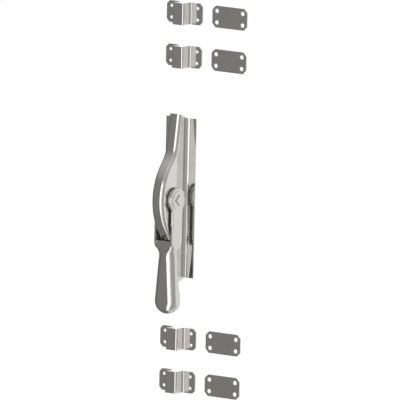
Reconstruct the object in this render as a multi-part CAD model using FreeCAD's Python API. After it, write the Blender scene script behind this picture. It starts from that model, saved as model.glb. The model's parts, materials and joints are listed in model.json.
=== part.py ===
import FreeCAD, Part
import math
import os

# A bascule bolt set for a door: a pressed steel housing with a lever handle that works two
# sliding racks, four rod guides and four flat plates.
# X is to the right, Z is up and Y goes into the door. The back of every flange lies on Y = 0.
# All sizes are in millimetres.

# Pressed housing
SHEET = 1.5
FLANGE_WIDTH = 50.2
FLANGE_HALF_LENGTH = 110.5
HAT_WIDTH = 19.6
HAT_EDGE_RADIUS = 5.2
HAT_FOOT_RADIUS = 5.2
CROWN_DEPTH = 54.0
CROWN_RADIUS = 75.0
NECK_RADIUS = 50.0
END_DEPTH = 16.0
END_TAPER_DEGREES = 8.6
END_OVERHANG = 6.8
BACK_PLATE_THICKNESS = 3.0
BACK_PLATE_GAP = 0.1
FIXING_CORE_RADIUS = 2.5
FIXING_INSET = 12.5
FIXING_PITCH = 36.0

# Rack and pinion
TOOTH_MODULE = 1.5
TOOTH_COUNT = 14
PRESSURE_DEGREES = 20.0
RACK_ADDENDUM = 1.05
PINION_ADDENDUM = 1.2
ROOT_CLEARANCE = 0.3
BACKLASH = 0.2
HANDLE_SWING_DEGREES = 150.0
SLIDE_GAP = 0.3
SIDE_GAP = 0.4
LAYER_GAP = 0.4
FRONT_GAP = 0.6
BAR_DEPTH = 12.0
PAD_HALF_LENGTH = 12.0

# Rod couplers
COUPLER_INSET = 6.5
COUPLER_HEAD = 18.0
LAP_LENGTH = 14.0
LAP_MARGIN = 2.0
THREAD_CORE_RADIUS = 4.25
THREAD_DEPTH = 15.0
RIVET_RADIUS = 2.5
RIVET_PITCH = 7.0
RIVET_GAP = 0.05

# Turning parts on the pivot
PIVOT_DEPTH = 25.5
JOURNAL_RADIUS = 9.0
JOURNAL_GAP = 0.04
BUSH_RADIUS = 12.5
BUSH_FLANGE_RADIUS = 15.0
BUSH_FLANGE_THICKNESS = 1.3
THRUST_GAP = 0.2
SPINDLE_SIZE = 11.0
SPINDLE_GAP = 0.05
SPINDLE_STAND_OUT = 2.0
SPINDLE_CHAMFER = 0.8
WASHER_RADIUS = 13.0
WASHER_THICKNESS = 1.0

# Lever handle
ARM_GAP = 2.4
ARM_THICKNESS = 3.7
ARM_WIDTH = 22.4
ARM_END = 70.0
ARM_BLEND_RADIUS = 12.0
ARM_EDGE_RADIUS = 1.4
EYE_RADIUS = 17.2
YOKE_GAP = 0.8
YOKE_TOP = 57.0
YOKE_INSET = 0.6
NECK_WIDTH = 26.5
NECK_Z = 77.0
NECK_FRONT = 35.5
NECK_BACK = 23.0
GRIP_WIDTH = 36.2
GRIP_END = 159.0
GRIP_FRONT = 36.8
GRIP_BACK = 13.5
DEEPENING_LEAD = 16.0
DEEPENING_LENGTH = 36.0
YOKE_CORNER_RADIUS = 2.6
NECK_BACK_RADIUS = 2.0
GRIP_CORNER_RADIUS = 10.0

# How the grip is drawn: the yoke keeps its width for a share of its height, a corner takes at
# most a share of its side, the last section lies just short of the tip, and section counts
YOKE_SHOULDER = 0.2
LARGEST_CORNER = 0.46
TIP_LAST_DEGREES = 86.0
YOKE_SECTIONS = 5
SWELL_SECTIONS = 8
TIP_SECTIONS = 7

# Rod guides
GUIDE_WIDTH = 60.0
GUIDE_HEIGHT = 30.0
GUIDE_HAT_WIDTH = 19.0
GUIDE_DEPTH = 16.2
GUIDE_BEND_RADIUS = 2.2
GUIDE_CHAMFER = 4.5
GUIDE_HOLE_RADIUS = 2.25
GUIDE_HOLE_PITCH_X = 44.0
GUIDE_HOLE_PITCH_Z = 16.0

# Flat plates
PLATE_WIDTH = 58.0
PLATE_HEIGHT = 30.0
PLATE_THICKNESS = 1.5
PLATE_CHAMFER = 5.4
PLATE_HOLE_RADIUS = 3.0
PLATE_HOLE_PITCH_X = 43.0
PLATE_HOLE_PITCH_Z = 16.0

# Where the loose pieces of the set lie
GUIDE_X = 2.0
PLATE_X = 77.5
INNER_ROW_GAP = 85.0
ROW_PITCH = 60.0

# A cutting tool runs this far past what it cuts, a tooth is sunk this far into its plate,
# and lengths under the last one count as nothing
OVERRUN = 5.0
ROOT_OVERLAP = 0.75
TOUCH = 0.01

# Places that follow from the sizes above
HAT_HALF = HAT_WIDTH / 2
INNER_HALF = HAT_HALF - SHEET
CROWN_REACH = SHEET + CROWN_DEPTH
END_REACH = SHEET + END_DEPTH
HAT_HALF_LENGTH = FLANGE_HALF_LENGTH + END_OVERHANG
PIVOT_Y = -(SHEET + PIVOT_DEPTH)
PITCH_RADIUS = TOOTH_MODULE * TOOTH_COUNT / 2
TOOTH_PITCH = math.pi * TOOTH_MODULE
RACK_LEAD = 1.5 * TOOTH_PITCH
TRAVEL = PITCH_RADIUS * math.radians(HANDLE_SWING_DEGREES)
TIP_RADIUS = PITCH_RADIUS + PINION_ADDENDUM
RELIEF_RADIUS = TIP_RADIUS + ROOT_CLEARANCE
BACK_Y = -(BACK_PLATE_THICKNESS + SLIDE_GAP)
BAR_FRONT_Y = BACK_Y - BAR_DEPTH
ROD_Y = BACK_Y - BAR_DEPTH / 2
SLIDER_HALF = INNER_HALF - SIDE_GAP
COUPLER_END = FLANGE_HALF_LENGTH - COUPLER_INSET
BAR_END = COUPLER_END - COUPLER_HEAD
WEB_FOOT = BAR_END - LAP_LENGTH + LAP_MARGIN
ARM_INNER = HAT_HALF + ARM_GAP
ARM_OUTER = ARM_INNER + ARM_THICKNESS
WASHER_OUTER = ARM_OUTER + WASHER_THICKNESS
SPINDLE_HALF_LENGTH = WASHER_OUTER + SPINDLE_STAND_OUT
FIXING_OUTER_Z = FLANGE_HALF_LENGTH - FIXING_INSET
FIXING_INNER_Z = FIXING_OUTER_Z - FIXING_PITCH
INNER_ROW_Z = FLANGE_HALF_LENGTH + INNER_ROW_GAP
OUTER_ROW_Z = INNER_ROW_Z + ROW_PITCH


# Drawing helpers
def point(x, y, z):
    return FreeCAD.Vector(x, y, z)


def outline(corners):
    """A closed face from (point, radius) corners, each rounded where its radius is not zero."""
    starts, middles, ends = [], [], []
    for place, (corner, radius) in enumerate(corners):
        before = corners[place - 1][0]
        after = corners[(place + 1) % len(corners)][0]
        if radius == 0:
            starts.append(corner)
            middles.append(None)
            ends.append(corner)
            continue
        back = (before - corner).normalize()
        ahead = (after - corner).normalize()
        half_angle = back.getAngle(ahead) / 2
        reach = radius / math.tan(half_angle)
        centre = corner + (back + ahead).normalize() * (radius / math.sin(half_angle))
        starts.append(corner + back * reach)
        middles.append(centre + (corner - centre).normalize() * radius)
        ends.append(corner + ahead * reach)
    edges = []
    for place, middle in enumerate(middles):
        if middle is not None:
            edges.append(Part.Arc(starts[place], middle, ends[place]).toShape())
        following = starts[(place + 1) % len(corners)]
        edges.append(Part.LineSegment(ends[place], following).toShape())
    return Part.Face(Part.Wire(edges))


def box(x_span, y_span, z_span):
    """A block between the two values of each span."""
    corner = point(min(x_span), min(y_span), min(z_span))
    sizes = [abs(span[1] - span[0]) for span in (x_span, y_span, z_span)]
    return Part.makeBox(*sizes, corner)


def disc_along_x(radius, x_span, y, z):
    """A round bar that lies along X."""
    length = abs(x_span[1] - x_span[0])
    return Part.makeCylinder(radius, length, point(min(x_span), y, z), point(1, 0, 0))


def plate_in_yz(corners, x_span):
    """A flat plate with its outline in the YZ plane, from sharp (y, z) corners."""
    face = outline([(point(min(x_span), y, z), 0) for y, z in corners])
    return face.extrude(point(abs(x_span[1] - x_span[0]), 0, 0))


def square_bar(size, x_span):
    """A square bar along the pivot, turned to stand on its corner."""
    half = size / 2
    bar = box(x_span, (PIVOT_Y - half, PIVOT_Y + half), (-half, half))
    return bar.rotate(point(0, PIVOT_Y, 0), point(1, 0, 0), 45)


def spindle_hole(reach):
    """The square hole for the spindle, cut through all that lies within reach of the middle."""
    return square_bar(SPINDLE_SIZE + 2 * SPINDLE_GAP, (-reach - OVERRUN, reach + OVERRUN))


def turned_to_top(shape):
    """The same piece for the upper end: half a turn about the Y axis."""
    return shape.copy().rotate(point(0, 0, 0), point(0, 1, 0), 180)


def mirrored(shape):
    """The same piece for the left side."""
    return shape.mirror(point(0, 0, 0), point(1, 0, 0))


def save(name, *solids):
    """Write one sub-part, which holds one solid or a group of them."""
    shape = solids[0] if len(solids) == 1 else Part.makeCompound(list(solids))
    shape.exportStep(os.path.join("parts", name + ".step"))
    print(name, "solids", len(shape.Solids), "volume", round(shape.Volume, 1), "valid", shape.isValid())


# Side view of the housing
def flank_angle():
    """The steepest slope of the side view, where the crown's arc runs into the neck's arc.

    The tapered end runs straight, tangent to the neck's arc, so the angle between flank and
    taper follows from the heights of the crown and of the end.
    """
    taper = math.radians(END_TAPER_DEGREES)
    end_drop = CROWN_REACH - END_REACH
    taper_rise = HAT_HALF_LENGTH * math.tan(taper)
    crown_share = (CROWN_RADIUS + taper_rise - end_drop) * math.cos(taper)
    return taper + math.acos((crown_share + NECK_RADIUS) / (CROWN_RADIUS + NECK_RADIUS))


def hat_body(inset, stop, foot_y, foot_z):
    """The hat's solid, set in from the outer skin by inset, with its ends at a height of stop."""
    flank = flank_angle()
    taper = math.radians(END_TAPER_DEGREES)
    half = HAT_HALF - inset
    crown_y = CROWN_RADIUS - CROWN_REACH
    crown = CROWN_RADIUS - inset
    neck = NECK_RADIUS + inset
    neck_y = crown_y - (CROWN_RADIUS + NECK_RADIUS) * math.cos(flank)
    neck_z = (CROWN_RADIUS + NECK_RADIUS) * math.sin(flank)

    def on_crown(angle):
        return point(-half, crown_y - crown * math.cos(angle), crown * math.sin(angle))

    def on_neck(angle, side):
        return point(-half, neck_y + neck * math.cos(angle), side * (neck_z - neck * math.sin(angle)))

    edges = [Part.Arc(on_crown(-flank), on_crown(0), on_crown(flank)).toShape()]
    feet = []
    for side in (1, -1):
        neck_end = on_neck(taper, side)
        halfway = on_neck((flank + taper) / 2, side)
        end_y = neck_end.y + math.tan(taper) * (stop - abs(neck_end.z))
        end = point(-half, end_y, side * stop)
        foot = point(-half, foot_y, side * foot_z)
        edges.append(Part.Arc(on_crown(side * flank), halfway, neck_end).toShape())
        edges.append(Part.LineSegment(neck_end, end).toShape())
        edges.append(Part.LineSegment(end, foot).toShape())
        feet.append(foot)
    edges.append(Part.LineSegment(*feet).toShape())
    face = Part.Face(Part.Wire(Part.__sortEdges__(edges)))
    body = face.extrude(point(2 * half, 0, 0))
    front = [edge for edge in body.Edges
             if edge.BoundBox.XLength < TOUCH and edge.BoundBox.YMax < foot_y - TOUCH]
    return body.makeFillet(HAT_EDGE_RADIUS - inset, front)


def foot_strip(wall_x, face_y, radius, half_length):
    """The corner between a wall and a flange that a bend of this radius fills or opens."""
    corner = point(wall_x, face_y, -half_length)
    along = point(wall_x + radius, face_y, -half_length)
    down = point(wall_x, face_y - radius, -half_length)
    chord = radius * (1 - math.sqrt(0.5))
    bend = point(wall_x + chord, face_y - chord, -half_length)
    edges = [
        Part.LineSegment(corner, along).toShape(),
        Part.Arc(along, bend, down).toShape(),
        Part.LineSegment(down, corner).toShape(),
    ]
    return Part.Face(Part.Wire(edges)).extrude(point(0, 0, 2 * half_length))


def housing():
    """The pressed hat with its two flanges, open at both ends and at the back."""
    past = HAT_HALF_LENGTH + OVERRUN
    flange_half = FLANGE_WIDTH / 2
    outer_foot = foot_strip(HAT_HALF, -SHEET, HAT_FOOT_RADIUS, FLANGE_HALF_LENGTH)
    inner_foot = foot_strip(INNER_HALF, 0, HAT_FOOT_RADIUS + SHEET, past)
    shell = hat_body(0, HAT_HALF_LENGTH, 0, FLANGE_HALF_LENGTH)
    flange_z = (-FLANGE_HALF_LENGTH, FLANGE_HALF_LENGTH)
    shell = shell.fuse([box((-flange_half, flange_half), (-SHEET, 0), flange_z),
                        outer_foot, mirrored(outer_foot)])
    shell = shell.cut(hat_body(SHEET, past, OVERRUN, past))
    shell = shell.cut([inner_foot, mirrored(inner_foot)])
    across = (-HAT_HALF - OVERRUN, HAT_HALF + OVERRUN)
    shell = shell.cut(disc_along_x(BUSH_RADIUS, across, PIVOT_Y, 0))
    return shell.removeSplitter()


def back_plate():
    """The strip that closes the channel and is tapped for screws from behind the door."""
    bend = HAT_FOOT_RADIUS + SHEET
    rise = bend - BACK_PLATE_THICKNESS
    half = INNER_HALF + bend - math.sqrt(bend ** 2 - rise ** 2) - BACK_PLATE_GAP
    flange_z = (-FLANGE_HALF_LENGTH, FLANGE_HALF_LENGTH)
    plate = box((-half, half), (-BACK_PLATE_THICKNESS, 0), flange_z)
    for z in (-FIXING_OUTER_Z, -FIXING_INNER_Z, FIXING_INNER_Z, FIXING_OUTER_Z):
        start = point(0, -BACK_PLATE_THICKNESS - OVERRUN, z)
        length = BACK_PLATE_THICKNESS + 2 * OVERRUN
        plate = plate.cut(Part.makeCylinder(FIXING_CORE_RADIUS, length, start, point(0, 1, 0)))
    return plate


# Rack and pinion
def teeth_comb(side, numbers, x_span):
    """Straight-sided rack teeth on one side of the pinion: side is 1 behind it, -1 in front."""
    pitch_y = PIVOT_Y + side * PITCH_RADIUS
    slope = math.tan(math.radians(PRESSURE_DEGREES))
    root = RELIEF_RADIUS - PITCH_RADIUS + ROOT_OVERLAP
    half_pitch_width = TOOTH_PITCH / 4 - BACKLASH / 2
    tip_y = pitch_y - side * RACK_ADDENDUM
    root_y = pitch_y + side * root
    tip_half = half_pitch_width - slope * RACK_ADDENDUM
    root_half = half_pitch_width + slope * root
    corners = [(root_y, -root_half), (tip_y, -tip_half), (tip_y, tip_half), (root_y, root_half)]
    tooth = plate_in_yz(corners, x_span)
    return [tooth.translated(point(0, 0, number * TOOTH_PITCH)) for number in numbers]


def pinion_relief(x_span):
    """The room that the pinion sweeps in the lower slider's frame."""
    round_end = disc_along_x(RELIEF_RADIUS, x_span, PIVOT_Y, -TRAVEL)
    sides = (PIVOT_Y - RELIEF_RADIUS, PIVOT_Y + RELIEF_RADIUS)
    return round_end.fuse(box(x_span, sides, (-TRAVEL, FLANGE_HALF_LENGTH)))


def engaged_teeth():
    """How many teeth a slider needs past the middle one, and how far its rack runs."""
    count = math.ceil((TRAVEL + TOOTH_PITCH) / TOOTH_PITCH)
    return count, (count + 0.5) * TOOTH_PITCH


def slider_room(rise):
    """The inside of the housing, less the front clearance, seen by a slider that rises this far."""
    past = HAT_HALF_LENGTH + OVERRUN
    return hat_body(SHEET + FRONT_GAP, past, 0, past).translate(point(0, 0, -rise))


def upper_rack():
    """The plate in the left half of the channel, with its teeth behind the pinion."""
    x_span = (-SLIDER_HALF, -LAYER_GAP / 2)
    count, rack_end = engaged_teeth()
    root_y = PIVOT_Y + RELIEF_RADIUS
    corners = [(BACK_Y, -RACK_LEAD), (root_y, -RACK_LEAD), (root_y, rack_end),
               (BAR_FRONT_Y, rack_end), (BAR_FRONT_Y, BAR_END), (BACK_Y, BAR_END)]
    plate = plate_in_yz(corners, x_span)
    plate = plate.fuse(teeth_comb(1, range(-1, count + 1), x_span)).removeSplitter()
    return plate.cut([turned_to_top(hole) for hole in rivet_bars(RIVET_RADIUS + RIVET_GAP)])


def lower_rack():
    """The plate in the right half, with its teeth in front of the pinion and a web below it."""
    x_span = (LAYER_GAP / 2, SLIDER_HALF)
    count, rack_end = engaged_teeth()
    web_top = -(TRAVEL + RELIEF_RADIUS)
    corners = [(-CROWN_REACH, RACK_LEAD), (-CROWN_REACH, -TRAVEL), (BAR_FRONT_Y, -WEB_FOOT),
               (BAR_FRONT_Y, -BAR_END), (BACK_Y, -BAR_END), (BACK_Y, web_top),
               (PIVOT_Y, web_top), (PIVOT_Y, RACK_LEAD)]
    plate = plate_in_yz(corners, x_span).cut(pinion_relief(x_span))
    in_front = (-CROWN_REACH, pad_face_y() + SLIDE_GAP)
    plate = plate.cut(box(x_span, in_front, (-rack_end, RACK_LEAD)))
    plate = plate.fuse(teeth_comb(-1, range(-count, 2), x_span))
    plate = plate.common(slider_room(0)).common(slider_room(TRAVEL)).removeSplitter()
    return plate.cut(rivet_bars(RIVET_RADIUS + RIVET_GAP))


def pad_face_y():
    """The plane that backs the front rack, just clear of the housing at the end of the travel."""
    top = TRAVEL + RACK_LEAD
    crown_y = CROWN_RADIUS - CROWN_REACH
    inner = CROWN_RADIUS - SHEET - FRONT_GAP
    return crown_y - math.sqrt(inner ** 2 - top ** 2) - SLIDE_GAP


def crown_pad():
    """The moulded block that fills the crown and keeps the front rack in mesh."""
    half = HAT_HALF - HAT_EDGE_RADIUS - SLIDE_GAP
    block = box((-half, half), (-CROWN_REACH, pad_face_y()), (-PAD_HALF_LENGTH, PAD_HALF_LENGTH))
    past = HAT_HALF_LENGTH + OVERRUN
    return block.common(hat_body(SHEET + BACK_PLATE_GAP, past, 0, past))


def rivet_bars(radius):
    """The two bars across the lower lap joint, as rivets or as the holes for them."""
    middle = BAR_END - LAP_LENGTH / 2
    across = (-SLIDER_HALF, SLIDER_HALF)
    return [disc_along_x(radius, across, ROD_Y, -middle + shift)
            for shift in (-RIVET_PITCH / 2, RIVET_PITCH / 2)]


def lower_coupler():
    """The block that the lower rod screws into, lapped on the side of its rack."""
    depth = (BAR_FRONT_Y, BACK_Y)
    block = box((-SLIDER_HALF, SLIDER_HALF), depth, (-COUPLER_END, -BAR_END))
    tongue = box((-SLIDER_HALF, LAYER_GAP / 2), depth, (-BAR_END, LAP_LENGTH - BAR_END))
    start = point(0, ROD_Y, -COUPLER_END - OVERRUN)
    thread = Part.makeCylinder(THREAD_CORE_RADIUS, THREAD_DEPTH + OVERRUN, start, point(0, 0, 1))
    block = block.fuse(tongue).removeSplitter()
    return block.cut([thread] + rivet_bars(RIVET_RADIUS + RIVET_GAP))


def pinion():
    """The toothed wheel with a journal on each side and a square hole through it."""
    base_radius = PITCH_RADIUS * math.cos(math.radians(PRESSURE_DEGREES))
    root_radius = PITCH_RADIUS - RACK_ADDENDUM - ROOT_CLEARANCE
    middle_radius = (base_radius + TIP_RADIUS) / 2
    step = 2 * math.pi / TOOTH_COUNT

    def involute(radius):
        angle = math.acos(min(1, base_radius / radius))
        return math.tan(angle) - angle

    def at(radius, angle):
        y = PIVOT_Y + radius * math.cos(angle)
        return point(-SLIDER_HALF, y, radius * math.sin(angle))

    def half_angle(radius):
        return step / 4 + involute(PITCH_RADIUS) - involute(radius)

    edges = []
    for tooth in range(TOOTH_COUNT):
        middle = (tooth + 0.5) * step
        base = half_angle(base_radius)
        low = [at(root_radius, middle - base), at(root_radius, middle + base)]
        sides = []
        for sign in (-1, 1):
            radii = (base_radius, middle_radius, TIP_RADIUS)
            sides.append([at(radius, middle + sign * half_angle(radius)) for radius in radii])
        edges.append(Part.LineSegment(low[0], sides[0][0]).toShape())
        edges.append(Part.Arc(*sides[0]).toShape())
        edges.append(Part.Arc(sides[0][2], at(TIP_RADIUS, middle), sides[1][2]).toShape())
        edges.append(Part.Arc(*reversed(sides[1])).toShape())
        edges.append(Part.LineSegment(sides[1][0], low[1]).toShape())
        next_low = at(root_radius, middle + step - base)
        edges.append(Part.Arc(low[1], at(root_radius, middle + step / 2), next_low).toShape())
    wheel = Part.Face(Part.Wire(edges)).extrude(point(2 * SLIDER_HALF, 0, 0))
    journal_end = HAT_HALF + BUSH_FLANGE_THICKNESS
    wheel = wheel.fuse(disc_along_x(JOURNAL_RADIUS, (-journal_end, journal_end), PIVOT_Y, 0))
    return wheel.cut(spindle_hole(journal_end))


# Turning parts
def right_bush():
    """The flanged bush that is pressed into the right wall and carries a journal."""
    inner = SLIDER_HALF + THRUST_GAP
    outer = HAT_HALF + BUSH_FLANGE_THICKNESS
    bush = disc_along_x(BUSH_RADIUS, (inner, HAT_HALF), PIVOT_Y, 0)
    bush = bush.fuse(disc_along_x(BUSH_FLANGE_RADIUS, (HAT_HALF, outer), PIVOT_Y, 0))
    bore = disc_along_x(JOURNAL_RADIUS + JOURNAL_GAP, (inner - OVERRUN, outer + OVERRUN), PIVOT_Y, 0)
    return bush.cut(bore).removeSplitter()


def spindle():
    """The square axle that turns the pinion with the handle."""
    ends = (-SPINDLE_HALF_LENGTH, SPINDLE_HALF_LENGTH)
    bar = square_bar(SPINDLE_SIZE, ends)
    rims = [edge for edge in bar.Edges if edge.BoundBox.XLength < SPINDLE_CHAMFER]
    return bar.makeChamfer(SPINDLE_CHAMFER, rims)


def right_washer():
    """The round washer that the spindle's end is riveted over."""
    disc = disc_along_x(WASHER_RADIUS, (ARM_OUTER, WASHER_OUTER), PIVOT_Y, 0)
    rim = [edge for edge in disc.Edges if edge.BoundBox.XMin > ARM_OUTER + WASHER_THICKNESS / 2]
    disc = disc.makeFillet(WASHER_THICKNESS / 2, rim)
    return disc.cut(spindle_hole(WASHER_OUTER))


# Lever handle
def right_arm():
    """One side of the fork: a round eye that runs into a straight arm with a round end."""
    half = ARM_WIDTH / 2
    blend_y = half + ARM_BLEND_RADIUS
    reach = EYE_RADIUS + ARM_BLEND_RADIUS
    blend_z = -math.sqrt(reach ** 2 - blend_y ** 2)
    end_z = half - ARM_END

    def at(y, z):
        return point(ARM_INNER, PIVOT_Y + y, z)

    def blend(side):
        share = EYE_RADIUS / reach
        on_eye = at(side * blend_y * share, blend_z * share)
        centre = at(side * blend_y, blend_z)
        on_arm = at(side * half, blend_z)
        middle = centre + ((on_eye + on_arm) * 0.5 - centre).normalize() * ARM_BLEND_RADIUS
        return on_eye, middle, on_arm

    left = blend(-1)
    right = blend(1)
    edges = [
        Part.Arc(left[0], at(0, EYE_RADIUS), right[0]).toShape(),
        Part.Arc(*right).toShape(),
        Part.LineSegment(right[2], at(half, end_z)).toShape(),
        Part.Arc(at(half, end_z), at(0, -ARM_END), at(-half, end_z)).toShape(),
        Part.LineSegment(at(-half, end_z), left[2]).toShape(),
        Part.Arc(*reversed(left)).toShape(),
    ]
    arm = Part.Face(Part.Wire(edges)).extrude(point(ARM_THICKNESS, 0, 0))
    rim = [edge for edge in arm.Edges if edge.BoundBox.XMin > ARM_OUTER - ARM_THICKNESS / 2]
    return arm.makeFillet(ARM_EDGE_RADIUS, rim)


def grip_section(z, half_width, front, back, front_radius, back_radius):
    """One rounded rectangle across the grip, at a height of z below the pivot."""
    corners = [(-half_width, front, front_radius), (half_width, front, front_radius),
               (half_width, back, back_radius), (-half_width, back, back_radius)]
    return outline([(point(x, -y, -z), radius) for x, y, radius in corners]).OuterWire


def between(first, last, share):
    """The value that lies this share of the way from the first to the last."""
    return first + (last - first) * share


def ease(share):
    """A smooth step from 0 to 1."""
    share = min(1, max(0, share))
    return share * share * (3 - 2 * share)


def grip():
    """The yoke, neck and swelling grip, lofted through rounded rectangles, with a round end."""
    yoke_half = ARM_OUTER - YOKE_INSET
    yoke_front = -PIVOT_Y + ARM_WIDTH / 2 - YOKE_INSET
    neck_half = NECK_WIDTH / 2
    grip_half = GRIP_WIDTH / 2
    swell_z = GRIP_END - grip_half
    wires = []
    for step in range(YOKE_SECTIONS + 1):
        place = step / YOKE_SECTIONS
        share = ease((place - YOKE_SHOULDER) / (1 - YOKE_SHOULDER))
        z = between(YOKE_TOP, NECK_Z, place)
        half = between(yoke_half, neck_half, share)
        front = between(yoke_front, NECK_FRONT, share)
        radius = between(YOKE_CORNER_RADIUS, GRIP_CORNER_RADIUS, share)
        wires.append(grip_section(z, half, front, NECK_BACK, radius, NECK_BACK_RADIUS))
    for step in range(1, SWELL_SECTIONS + 1):
        place = step / SWELL_SECTIONS
        z = between(NECK_Z, swell_z, place)
        half = between(neck_half, grip_half, place)
        front = between(NECK_FRONT, GRIP_FRONT, place)
        share = ease((z - HAT_HALF_LENGTH + DEEPENING_LEAD) / DEEPENING_LENGTH)
        back = between(NECK_BACK, GRIP_BACK, share)
        back_radius = between(NECK_BACK_RADIUS, GRIP_CORNER_RADIUS, share)
        wires.append(grip_section(z, half, front, back, GRIP_CORNER_RADIUS, back_radius))
    middle_y = (GRIP_FRONT + GRIP_BACK) / 2
    half_depth = (GRIP_FRONT - GRIP_BACK) / 2
    for step in range(1, TIP_SECTIONS + 1):
        angle = math.radians(TIP_LAST_DEGREES) * math.sin(math.pi / 2 * step / TIP_SECTIONS)
        z = swell_z + grip_half * math.sin(angle)
        from_corner = max(0, GRIP_CORNER_RADIUS - (GRIP_END - z))
        drawn_in = GRIP_CORNER_RADIUS - math.sqrt(GRIP_CORNER_RADIUS ** 2 - from_corner ** 2)
        half = grip_half * math.cos(angle)
        depth = half_depth - drawn_in
        radius = min(GRIP_CORNER_RADIUS, 2 * LARGEST_CORNER * min(half, depth))
        wires.append(grip_section(z, half, middle_y + depth, middle_y - depth, radius, radius))
    return Part.makeLoft(wires, True, False)


def handle():
    """The fork that straddles the housing and the grip below it, cut clear of the housing."""
    swing_room = hat_body(-YOKE_GAP, HAT_HALF_LENGTH + YOKE_GAP, 0, HAT_HALF_LENGTH + YOKE_GAP)
    lever = grip().cut(swing_room)
    arm = right_arm()
    lever = lever.fuse([arm, mirrored(arm)])
    return lever.cut(spindle_hole(ARM_OUTER))


# Guides and plates
def drilled(shape, x, z, pitch_x, pitch_z, radius, depth):
    """The same piece with four round holes on a rectangle round (x, z)."""
    holes = []
    for side_x in (-1, 1):
        for side_z in (-1, 1):
            start = point(x + side_x * pitch_x / 2, -depth, z + side_z * pitch_z / 2)
            holes.append(Part.makeCylinder(radius, depth + OVERRUN, start, point(0, 1, 0)))
    return shape.cut(holes)


def bevelled_block(x, z, width, height, chamfer, depth):
    """A block on the door plane whose four corners are cut off."""
    side = width / 2
    top = height / 2
    near_side = side - chamfer
    near_top = top - chamfer
    corners = [(side, -near_top), (side, near_top), (near_side, top), (-near_side, top),
               (-side, near_top), (-side, -near_top), (-near_side, -top), (near_side, -top)]
    face = outline([(point(x + dx, 0, z + dz), 0) for dx, dz in corners])
    return face.extrude(point(0, -depth, 0))


def rod_guide(z):
    """A strip bent over the rod like a bridge, with two screw holes in each foot."""
    front = -(SHEET + GUIDE_DEPTH)
    outer = GUIDE_HAT_WIDTH / 2
    inner = outer - SHEET
    edge = GUIDE_WIDTH / 2
    foot = GUIDE_BEND_RADIUS
    wide = GUIDE_BEND_RADIUS + SHEET
    tight = GUIDE_BEND_RADIUS - SHEET
    right_half = [(edge, -SHEET, 0), (edge, 0, 0), (inner, 0, wide), (inner, front + SHEET, tight)]
    front_side = [(-outer, -SHEET, foot), (-outer, front, foot), (outer, front, foot), (outer, -SHEET, foot)]
    left_half = [(-x, y, radius) for x, y, radius in reversed(right_half)]
    section = front_side + right_half + left_half
    bottom = z - GUIDE_HEIGHT / 2
    face = outline([(point(GUIDE_X + x, y, bottom), radius) for x, y, radius in section])
    strip = face.extrude(point(0, 0, GUIDE_HEIGHT))
    depth = SHEET + GUIDE_DEPTH + OVERRUN
    strip = strip.common(bevelled_block(GUIDE_X, z, GUIDE_WIDTH, GUIDE_HEIGHT, GUIDE_CHAMFER, depth))
    return drilled(strip, GUIDE_X, z, GUIDE_HOLE_PITCH_X, GUIDE_HOLE_PITCH_Z, GUIDE_HOLE_RADIUS, depth)


def flat_plate(z):
    """A flat plate with cut corners and four screw holes."""
    plate = bevelled_block(PLATE_X, z, PLATE_WIDTH, PLATE_HEIGHT, PLATE_CHAMFER, PLATE_THICKNESS)
    depth = PLATE_THICKNESS + OVERRUN
    return drilled(plate, PLATE_X, z, PLATE_HOLE_PITCH_X, PLATE_HOLE_PITCH_Z, PLATE_HOLE_RADIUS, depth)


# Build and write every piece
os.makedirs("parts", exist_ok=True)
save("housing", housing())
save("back_plate", back_plate())
save("crown_pad", crown_pad())

bush = right_bush()
save("right_bush", bush)
save("left_bush", mirrored(bush))

save("handle", handle())
save("pinion", pinion())
save("spindle", spindle())
washer = right_washer()
save("right_washer", washer)
save("left_washer", mirrored(washer))

coupler = lower_coupler()
rivets = rivet_bars(RIVET_RADIUS)
save("lower_rack", lower_rack())
save("lower_coupler", coupler)
save("lower_rivets", *rivets)
save("upper_rack", upper_rack())
save("upper_coupler", turned_to_top(coupler))
save("upper_rivets", *[turned_to_top(rivet) for rivet in rivets])

ROWS = {
    "upper_outer": OUTER_ROW_Z,
    "upper_inner": INNER_ROW_Z,
    "lower_inner": -INNER_ROW_Z,
    "lower_outer": -OUTER_ROW_Z,
}
for row, height in ROWS.items():
    save(row + "_guide", rod_guide(height))
    save(row + "_plate", flat_plate(height))

print("travel of each slider", round(TRAVEL, 3))
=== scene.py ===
# %% [markdown]
# # A bascule bolt set in polished steel
# This lesson dresses a bascule bolt set: a pressed housing with a forked lever handle, four rod
# guides and four flat plates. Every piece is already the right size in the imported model, so the
# work here is finish, light and camera. Polished metal has hardly any colour of its own. What
# we see in it is the room, so the room gets as much care as the metal.

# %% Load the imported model
import json
import math

import bmesh
import bpy
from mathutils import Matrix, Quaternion, Vector


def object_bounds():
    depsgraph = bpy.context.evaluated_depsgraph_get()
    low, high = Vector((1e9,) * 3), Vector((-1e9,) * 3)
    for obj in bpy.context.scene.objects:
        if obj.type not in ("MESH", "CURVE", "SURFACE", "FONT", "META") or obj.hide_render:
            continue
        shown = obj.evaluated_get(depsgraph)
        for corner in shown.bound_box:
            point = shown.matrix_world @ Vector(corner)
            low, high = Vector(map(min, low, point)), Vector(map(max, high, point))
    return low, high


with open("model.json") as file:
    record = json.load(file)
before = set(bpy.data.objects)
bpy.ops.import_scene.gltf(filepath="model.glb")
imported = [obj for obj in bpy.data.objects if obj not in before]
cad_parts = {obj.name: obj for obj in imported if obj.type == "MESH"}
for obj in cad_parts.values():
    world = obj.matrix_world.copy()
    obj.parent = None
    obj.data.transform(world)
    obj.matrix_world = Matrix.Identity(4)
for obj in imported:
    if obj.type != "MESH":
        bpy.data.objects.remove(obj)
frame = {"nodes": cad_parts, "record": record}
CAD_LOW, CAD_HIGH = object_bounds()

print("pieces in the model:", len(frame["nodes"]))

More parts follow.
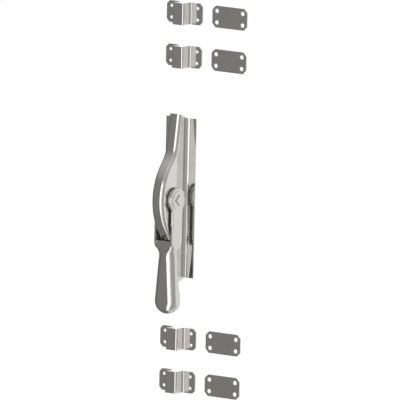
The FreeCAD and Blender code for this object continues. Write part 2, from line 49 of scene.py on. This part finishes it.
# %% [markdown]
# ## A small way to write shader maths
# A shader is a graph of nodes, and sums are easier to read as sums. The class below wraps one
# output socket, so that an expression such as 1 - mask * 0.5 adds the Math nodes it needs. Any
# other node comes from its method called node, which takes the node's type, its settings, and
# the values or links of its sockets. A ramp's stops are one of those settings.

# %% Place the stops of a ramp
def set_stops(ramp, stops):
    """Place a ramp's stops, each given as its position from 0 to 1 and its grey."""
    while len(ramp.elements) < len(stops):
        # A new stop starts in the middle, and the loop below moves it
        ramp.elements.new(0.5)
    for element, (position, grey) in zip(ramp.elements, stops):
        element.position = position
        element.color = (grey, grey, grey, 1)


print("ramps can be set")

# %% Wrap a socket so that it can be added and multiplied
class Wire:
    """One output socket of a node, with the arithmetic that a shader needs."""

    def __init__(self, tree, socket):
        self.tree = tree
        self.socket = socket

    @classmethod
    def node(cls, tree, kind, settings=None, values=None, output=0):
        """Add a node: first its settings, then the values or links of its sockets."""
        added = tree.nodes.new(kind)
        for name, value in (settings or {}).items():
            if name == "stops":
                set_stops(added.color_ramp, value)
            else:
                setattr(added, name, value)
        for name, value in (values or {}).items():
            if isinstance(value, cls):
                value.into(added, name)
            else:
                added.inputs[name].default_value = value
        return cls(tree, added.outputs[output]) if added.outputs else None

    def into(self, node, name):
        """Link this socket to an input of another node."""
        self.tree.links.new(self.socket, node.inputs[name])

    def arithmetic(self, operation, first, second):
        """Add the Math node that works one operation out."""
        return self.node(self.tree, "ShaderNodeMath", {"operation": operation}, {0: first, 1: second})

    def __add__(self, other):
        return self.arithmetic("ADD", self, other)

    __radd__ = __add__

    def __sub__(self, other):
        return self.arithmetic("SUBTRACT", self, other)

    def __rsub__(self, other):
        return self.arithmetic("SUBTRACT", other, self)

    def __mul__(self, other):
        return self.arithmetic("MULTIPLY", self, other)

    __rmul__ = __mul__


print("shader maths ready")

# %% [markdown]
# ## Masks, mixes and reliefs
# The finishes here share a few steps. A mask takes a narrow band of a noise and spreads it from
# 0 to 1, so that soft noise becomes patches. A mix blends two colours, which Math nodes can't
# do, because they turn a colour grey. A relief tilts the surface that the light sees without
# moving it, which is enough for marks much finer than the mesh.

# %% Start a material, mask, mix and raise a relief
def new_material(name):
    """A new material with nodes of its own."""
    material = bpy.data.materials.new(name)
    material.use_nodes = True
    return material


def share_between(value, low, high):
    """How far a value has come from low to high, kept between 0 and 1."""
    return Wire.node(value.tree, "ShaderNodeMapRange",
                     values={"Value": value, "From Min": low, "From Max": high})


def mixed(tree, share, first, last, way="MIX"):
    """The first colour with this share of the last one mixed in, or multiplied in."""
    # A Mix node has sockets for numbers, vectors and colours: 6, 7 and output 2 are for colours
    return Wire.node(tree, "ShaderNodeMix", {"data_type": "RGBA", "blend_type": way},
                     {0: share, 6: first, 7: last}, output=2)


def raise_relief(shader, height, depth):
    """Shade a surface as if it rose by depth metres where height is 1."""
    bump = Wire.node(height.tree, "ShaderNodeBump",
                     values={"Strength": 1.0, "Distance": depth, "Height": height})
    bump.into(shader, "Normal")


print("helpers for finishes ready")

# %% [markdown]
# ## Polished stainless steel
# The housing, handle and guides are stainless steel that has been pressed or cast and then
# polished on a wheel, and the plates are ground. Wheel and grinder both leave fine lines along
# their stroke, and hands leave faint smears. A picture laid over the steel could hold these, but
# noise made of the piece's own coordinates stays sharp at any distance and needs no unwrapping.
# The lines are noise that is stretched along the stroke. They change the roughness and, through
# a relief of at most a micrometre, the shape of each highlight. A polished face also scatters a little
# light, so its Metallic value stays a little under 1. That keeps the narrow gaps between facing
# mirrors from going quite black.

# %% Make a polished steel
MIRROR_SHARE = 0.93
SMEARS_PER_METRE = 55.0
# The noise values at which a smear begins and is complete
SMEAR_EDGES = (0.52, 0.72)
# The value about which the noise of the lines varies
NOISE_MIDDLE = 0.5
# How far the lines change the roughness, and how far lines and smears change the shade
LINE_ROUGHNESS = 0.05
LINE_SHADE = 0.04
SMEAR_SHADE = 0.05


def polished_steel(name, tint, stroke, dullness, line_depth, smearing):
    """A steel with fine lines along the stroke, which is an (x, y, z) stretch of their noise.

    Dullness is its roughness, smearing is what a smear adds to that, and line_depth is in metres.
    """
    material = new_material(name)
    tree = material.node_tree
    shader = tree.nodes["Principled BSDF"]
    shader.inputs["Metallic"].default_value = MIRROR_SHARE

    where = Wire.node(tree, "ShaderNodeTexCoord", output="Object")
    stretched = Wire.node(tree, "ShaderNodeVectorMath", {"operation": "MULTIPLY"}, {0: where, 1: stroke})
    lines = Wire.node(tree, "ShaderNodeTexNoise", values={"Vector": stretched, "Scale": 1.0, "Detail": 4.0})
    cloud = Wire.node(tree, "ShaderNodeTexNoise",
                      values={"Vector": where, "Scale": SMEARS_PER_METRE, "Detail": 3.0})
    smears = share_between(cloud, *SMEAR_EDGES)
    ripple = lines - NOISE_MIDDLE

    roughness = dullness + LINE_ROUGHNESS * ripple + smearing * smears
    roughness.into(shader, "Roughness")
    shade = 1 - SMEAR_SHADE * smears - LINE_SHADE * ripple
    colour = mixed(tree, share=1.0, first=(*tint, 1), last=shade, way="MULTIPLY")
    colour.into(shader, "Base Color")
    raise_relief(shader, lines, line_depth)
    print("steel:", name, "roughness about", dullness)
    return material

# %% Choose the steels that show
MICRON = 1e-6
# How many cells the noise of the lines has in a metre, across the stroke and along it
ACROSS = 2600.0
ALONG = 60.0
STROKE_X = (ALONG, ACROSS, ACROSS)
STROKE_Z = (ACROSS, ACROSS, ALONG)
SHEET_STAINLESS = (0.705, 0.688, 0.66)
GROUND_STAINLESS = (0.665, 0.648, 0.61)
CAST_STAINLESS = (0.68, 0.664, 0.633)

housing_steel = polished_steel("housing_steel", SHEET_STAINLESS, STROKE_Z,
                               dullness=0.05, line_depth=0.2 * MICRON, smearing=0.04)
guide_steel = polished_steel("guide_steel", SHEET_STAINLESS, STROKE_Z,
                             dullness=0.06, line_depth=0.2 * MICRON, smearing=0.04)
plate_steel = polished_steel("plate_steel", GROUND_STAINLESS, STROKE_X,
                             dullness=0.10, line_depth=0.3 * MICRON, smearing=0.05)
handle_steel = polished_steel("handle_steel", CAST_STAINLESS, STROKE_Z,
                              dullness=0.05, line_depth=0.1 * MICRON, smearing=0.05)

# %% [markdown]
# ## The working parts
# The racks and couplers are cut from plate and bar and left with an oil film. The spindle,
# pinion and rivets are a little brighter, and the bushes are turned and hardened steel with a
# satin face. Most of this is hidden, and the rest shows only through the open ends, in the
# handle's eye and in the gap behind its arms. So these parts could share one plain grey, but
# the recipe above costs nothing to use again: the same steel, duller and darker.

# %% Choose the steels of the working parts
BRIGHT_BAR = (0.69, 0.68, 0.66)
OILED_PLATE = (0.62, 0.61, 0.59)
HARDENED_STEEL = (0.66, 0.65, 0.63)

axle_steel = polished_steel("axle_steel", BRIGHT_BAR, STROKE_X,
                            dullness=0.12, line_depth=0.3 * MICRON, smearing=0.06)
rack_steel = polished_steel("rack_steel", OILED_PLATE, STROKE_Z,
                            dullness=0.30, line_depth=MICRON, smearing=0.10)
bush_steel = polished_steel("bush_steel", HARDENED_STEEL, STROKE_X,
                            dullness=0.20, line_depth=MICRON, smearing=0.10)

# %% [markdown]
# ## White acetal
# The pad that backs the front rack is moulded from acetal, a white and slippery plastic. Its
# skin is satin, with an orange peel far too fine to model. One noise stands for the peel. It
# varies the shade and the roughness a little and, through a relief of a few micrometres, it
# breaks up the highlight, so that the pad doesn't look like a plain white block.

# %% Make a moulded plastic
ACETAL_WHITE = (0.83, 0.82, 0.78)
PEELS_PER_METRE = 1400.0
PEEL_DEPTH = 4 * MICRON
# The roughness where the noise is 0, and what is added to it where the noise is 1
SATIN = 0.38
PEEL_ROUGHNESS = 0.12
# How bright the plastic is where the noise is 1, as a share of its tint
PEEL_SHADE = 0.94


def moulded_plastic(name, tint):
    """A satin plastic with the fine orange-peel skin of a mould."""
    material = new_material(name)
    tree = material.node_tree
    shader = tree.nodes["Principled BSDF"]
    where = Wire.node(tree, "ShaderNodeTexCoord", output="Object")
    peel = Wire.node(tree, "ShaderNodeTexNoise",
                     values={"Vector": where, "Scale": PEELS_PER_METRE, "Detail": 2.0})
    roughness = SATIN + PEEL_ROUGHNESS * peel
    roughness.into(shader, "Roughness")
    darker = [part * PEEL_SHADE for part in tint]
    colour = mixed(tree, share=peel, first=(*tint, 1), last=(*darker, 1))
    colour.into(shader, "Base Color")
    raise_relief(shader, peel, PEEL_DEPTH)
    print("plastic:", name, "roughness from", SATIN)
    return material


pad_plastic = moulded_plastic("pad_plastic", ACETAL_WHITE)

# %% [markdown]
# ## Give every piece its finish
# Each piece could be dressed by its own name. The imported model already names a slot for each
# piece, though, so one table of slots dresses the whole set, and a piece that is added later
# finds its finish by itself.

# %% Dress every piece
FINISHES = {
    "housing_steel": housing_steel,
    "guide_steel": guide_steel,
    "plate_steel": plate_steel,
    "handle_steel": handle_steel,
    "axle_steel": axle_steel,
    "rack_steel": rack_steel,
    "bush_steel": bush_steel,
    "pad_plastic": pad_plastic,
}
for part in frame["record"]["subparts"]:
    piece = frame["nodes"][part["node"]]
    piece.material_slots[0].material = FINISHES[part["material_slot"]]

# %% [markdown]
# ## The light of the room
# Lamps would draw hard spots in polished metal. So the light is plain white and comes from all
# round, at the strength at which a colour renders about as it is written.

# %% Fill the room with plain white light
WHITE = (1, 1, 1, 1)
scene = bpy.context.scene
world = bpy.data.worlds.new("studio")
scene.world = world
world.use_nodes = True
daylight = world.node_tree.nodes["Background"]
daylight.inputs["Color"].default_value = WHITE
daylight.inputs["Strength"].default_value = 1.0
print("white room of strength", daylight.inputs["Strength"].default_value)

# %% [markdown]
# ## One round screen
# A photographer lights polished metal with what stands round it. A dark screen to the left
# gives the flat faces their even grey, a softbox in front draws the bright line along every
# bend, and a narrow pale strip stands to its right. Grey and pale screens follow, further right
# and behind. Each could be a card of its own. Here one round screen carries them all, which is
# quick to change and has no seams. Only reflections show it, so the white room goes on lighting
# paint and plastic evenly.

# %% Set up one round screen
SCREEN_RADIUS = 4.0
SCREEN_SIDES = 48
SCREEN_BANDS = 24
screen_mesh = bpy.data.meshes.new("screens")
ball = bmesh.new()
bmesh.ops.create_uvsphere(ball, u_segments=SCREEN_SIDES, v_segments=SCREEN_BANDS, radius=SCREEN_RADIUS)
ball.to_mesh(screen_mesh)
ball.free()
screens = bpy.data.objects.new("screens", screen_mesh)
scene.collection.objects.link(screens)
screens.visible_camera = False
screens.visible_diffuse = False
screens.visible_transmission = False
screens.visible_shadow = False
print("screens stand", SCREEN_RADIUS, "m away")

# %% [markdown]
# ## Where on the screen a point lies
# Paint on the screen goes by direction, as seen from the set in the middle. A picture of a
# studio could do the same, but a few greys by compass direction are easier to move. The set
# faces -Y. A bearing of 0 degrees is in front of it, and 90 is to the right, towards +X.

# %% Find the bearing and the height of a point
screen_paint = new_material("screen_paint")
easel = screen_paint.node_tree
easel.nodes.clear()
place = Wire.node(easel, "ShaderNodeTexCoord", output="Object")
direction = Wire.node(easel, "ShaderNodeVectorMath", {"operation": "NORMALIZE"}, {0: place})
rightward, backward, upward = [
    Wire.node(easel, "ShaderNodeSeparateXYZ", values={0: direction}, output=axis) for axis in "XYZ"
]
bearing = Wire.node(easel, "ShaderNodeMath", {"operation": "ARCTAN2"}, {0: rightward, 1: 0 - backward})
# A whole turn from the back, over the left, the front and the right, as a number from 0 to 1
turn = bearing * (1 / math.tau) + 0.5
print("nodes that find a direction:", len(easel.nodes))

# %% [markdown]
# ## The greys of the screen
# Four rings of greys go round the set: one level with it, two above and one below. The softbox
# is brightest in the level ring, ends a little way up, and is weaker towards the ground. High
# up, the greys come close to each other. Each ring runs softly into the next.

# %% Choose the greys
# Each pair is a bearing in degrees and the grey that stands there
LEVEL_GREYS = (
    (-180, 0.95), (-160, 0.80), (-130, 0.20), (-105, 0.14), (-60, 0.15), (-42, 0.21), (-29, 0.21),
    (-26, 1.70), (18, 1.70), (23, 0.42), (32, 0.42), (33.5, 1.04), (37.5, 1.04), (39, 0.42),
    (98, 0.42), (106, 0.93), (180, 0.95),
)
RAISED_GREYS = (
    (-180, 0.86), (-130, 0.34), (-29, 0.32), (-26, 0.48), (98, 0.48), (106, 0.84), (180, 0.86),
)
HIGH_GREYS = (
    (-180, 0.70), (-130, 0.52), (-29, 0.52), (-26, 0.70), (18, 0.70), (24, 0.60), (180, 0.70),
)
LOW_GREYS = (
    (-180, 0.85), (-160, 0.60), (-130, 0.17), (-29, 0.17), (-26, 1.30), (18, 1.30), (24, 0.42),
    (98, 0.42), (106, 0.85), (180, 0.85),
)
# Degrees above and below the level between which one ring runs into the next
RISE_TO_RAISED = (24, 32)
RISE_TO_HIGH = (32, 58)
DROP_TO_LOW = (18, 42)
print("greys in the level ring:", len(LEVEL_GREYS))

# %% Paint the screen
HALF_TURN = 180


def ring(greys):
    """The grey that stands at each bearing."""
    stops = [((degrees + HALF_TURN) / (2 * HALF_TURN), grey) for degrees, grey in greys]
    return Wire.node(easel, "ShaderNodeValToRGB", {"stops": stops}, {0: turn})


def change(climb, span):
    """How far a climb has come between two angles of the span, from 0 to 1."""
    start, stop = [math.sin(math.radians(angle)) for angle in span]
    return share_between(climb, start, stop)


middle_part = mixed(easel, change(upward, RISE_TO_RAISED), ring(LEVEL_GREYS), ring(RAISED_GREYS))
upper_part = mixed(easel, change(upward, RISE_TO_HIGH), middle_part, ring(HIGH_GREYS))
whole = mixed(easel, change(0 - upward, DROP_TO_LOW), upper_part, ring(LOW_GREYS))
shine = Wire.node(easel, "ShaderNodeEmission", values={"Color": whole, "Strength": 1.0})
Wire.node(easel, "ShaderNodeOutputMaterial", values={"Surface": shine})
screen_mesh.materials.append(screen_paint)
print("nodes in the screen's paint:", len(easel.nodes))

# %% [markdown]
# ## The floor
# The set hangs on a door, so the floor is only a pale sheet a little way below it. It could
# curve up into a wall as in a studio, but the white room already stands behind the set. The
# sheet stays out of reflections, because the round screen has a lower ring of its own.

# %% Lay the floor
MM = 0.001
FLOOR_DROP = 30 * MM
FLOOR_HALF = 0.9
floor_mesh = bpy.data.meshes.new("floor")
floor_z = CAD_LOW.z - FLOOR_DROP
corners = [(x * FLOOR_HALF, y * FLOOR_HALF, floor_z) for x, y in ((-1, -1), (1, -1), (1, 1), (-1, 1))]
floor_mesh.from_pydata(corners, [], [(0, 1, 2, 3)])
floor = bpy.data.objects.new("floor", floor_mesh)
scene.collection.objects.link(floor)
floor.visible_glossy = False
print("floor at", round(floor_z, 4), "m")

# %% [markdown]
# ## White paper that keeps a shadow
# The floor's matt paint catches the set's shadow. Lit by a white room it would still look a
# little greyer than the wall behind it. More light would bleach the set as well. Instead, what
# the camera sees of the paper gets a small lift, just enough that it is white where no shadow
# falls. The lift would show in metal or through glass too, in a set that mirrors its floor.

# %% Paint the floor
PAPER_GREY = 0.85
PAPER_LIFT = 0.2
paper = new_material("paper")
pulp = paper.node_tree
pulp.nodes.clear()
matt = Wire.node(pulp, "ShaderNodeBsdfDiffuse", values={"Color": (PAPER_GREY, PAPER_GREY, PAPER_GREY, 1)})
lift = Wire.node(pulp, "ShaderNodeEmission", values={"Color": WHITE, "Strength": PAPER_LIFT})
# The two shader inputs share one name, so they go by number
lifted = Wire.node(pulp, "ShaderNodeAddShader", values={0: matt, 1: lift})
seen = Wire.node(pulp, "ShaderNodeLightPath", output="Is Camera Ray")
for ray in ("Is Glossy Ray", "Is Transmission Ray"):
    seen = seen + Wire.node(pulp, "ShaderNodeLightPath", output=ray)
sheet = Wire.node(pulp, "ShaderNodeMixShader", values={0: seen, 1: matt, 2: lifted})
Wire.node(pulp, "ShaderNodeOutputMaterial", values={"Surface": sheet})
floor_mesh.materials.append(paper)
print("paper grey", PAPER_GREY, "lifted by", PAPER_LIFT)

# %% [markdown]
# ## The camera
# The picture was taken from a long way off with a long lens: lines that run along one
# direction stay parallel in it. An orthographic camera would come close, but a real lens far
# away is what a photographer has. So the camera stands far off to the front right, looks a
# little down, and leans a little to one side.

# %% Choose the place of the camera
AZIMUTH = math.radians(35.3)
ELEVATION = math.radians(8.9)
ROLL = math.radians(1.2)
AIM = Vector((34.2, -1.5, -0.5)) * MM
PICTURE_PIXELS = 400
LENS_PIXELS = 16000
PIXELS_PER_MM = 0.73
distance = LENS_PIXELS / PIXELS_PER_MM * MM
back = Vector((
    math.sin(AZIMUTH) * math.cos(ELEVATION),
    -math.cos(AZIMUTH) * math.cos(ELEVATION),
    math.sin(ELEVATION),
))
print("camera", round(distance, 2), "m away")

# %% Place the camera
SENSOR_MM = 36.0
# What lies nearer than half the distance or further than twice it isn't drawn
NEAR_SHARE = 0.5
FAR_SHARE = 2
LENS_AXIS = Vector((0, 0, 1))
camera_data = bpy.data.cameras.new("camera")
camera = bpy.data.objects.new("camera", camera_data)
scene.collection.objects.link(camera)
scene.camera = camera
camera_data.sensor_width = SENSOR_MM
camera_data.lens = camera_data.sensor_width * LENS_PIXELS / PICTURE_PIXELS
camera_data.clip_start = distance * NEAR_SHARE
camera_data.clip_end = distance * FAR_SHARE
camera.location = AIM + back * distance
camera.rotation_mode = "QUATERNION"
look = (-back).to_track_quat("-Z", "Y")
camera.rotation_quaternion = look @ Quaternion(LENS_AXIS, ROLL)
print("lens", round(camera_data.lens), "mm")

# %% [markdown]
# ## Show the colours as they are
# The Standard view shows a colour as it is written, with no film-like curve laid over it.

# %% Set the view
scene.view_settings.view_transform = "Standard"
